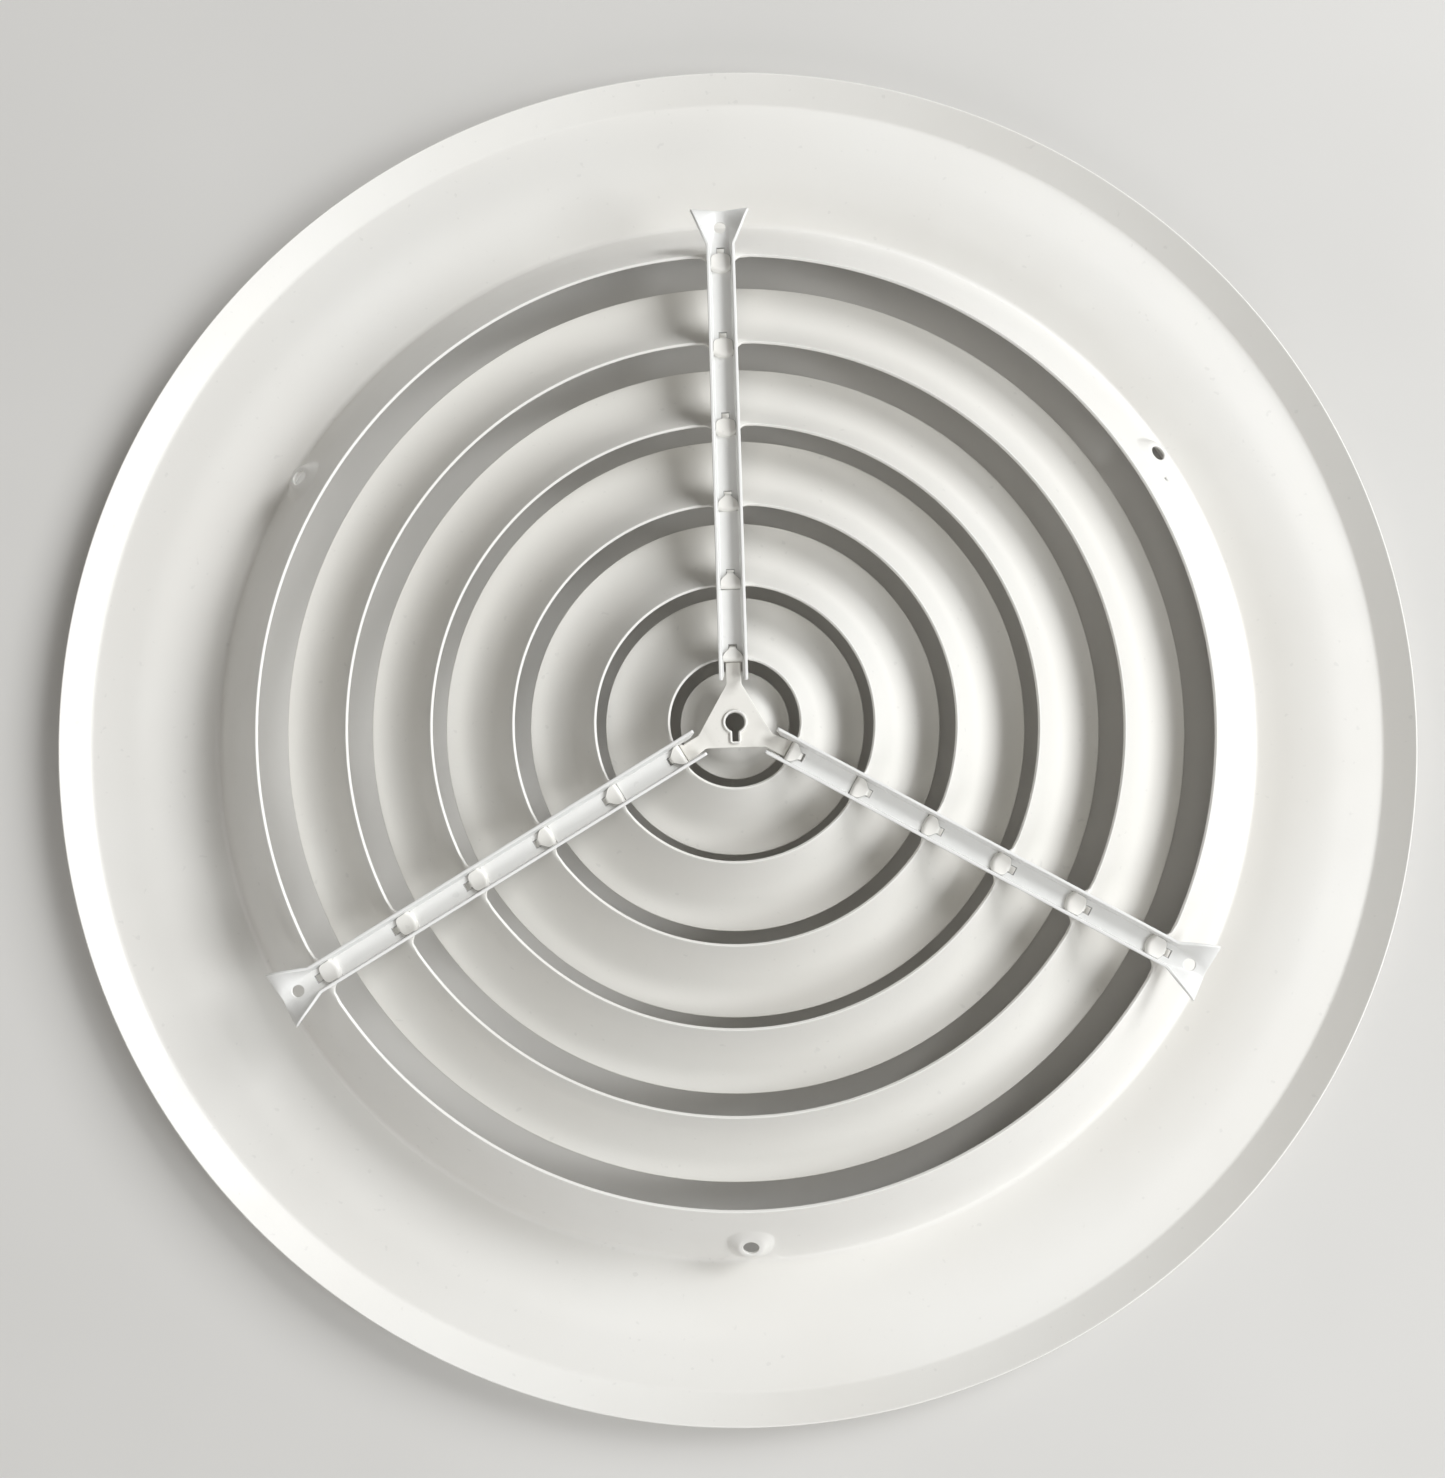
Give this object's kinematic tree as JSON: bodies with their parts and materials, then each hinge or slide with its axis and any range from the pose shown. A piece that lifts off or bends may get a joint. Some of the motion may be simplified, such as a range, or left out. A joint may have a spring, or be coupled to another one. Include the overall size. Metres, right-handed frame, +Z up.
{
  "type": "round ceiling air diffuser",
  "caption": "Round ceiling air diffuser: wide outer frame, concentric louvre cones, channel arms folded under ears, and a triangular hub with a keyhole.",
  "frame": {"origin": "on the diffuser's axis, in the plane of the frame's lowest point", "axes": "+Z up into the duct along the axis of the cones, +Y along one spoke arm, the keyhole's slot towards -Y"},
  "size_m": [0.447, 0.447, 0.0418],
  "materials": {
    "frame_coat": "semi-gloss powder coat",
    "ring_coat": "semi-gloss powder coat",
    "arm_coat": "semi-gloss powder coat",
    "hub_coat": "semi-gloss powder coat"
  },
  "bodies": {
    "root": {"outer_frame": "frame_coat", "louvre_ring_1": "ring_coat", "louvre_ring_2": "ring_coat", "louvre_ring_3": "ring_coat", "louvre_ring_4": "ring_coat", "louvre_ring_5": "ring_coat", "hub_plate": "hub_coat", "centre_cone": "ring_coat", "spoke_arm_1": "arm_coat", "spoke_arm_2": "arm_coat", "spoke_arm_3": "arm_coat"}
  },
  "joints": []
}
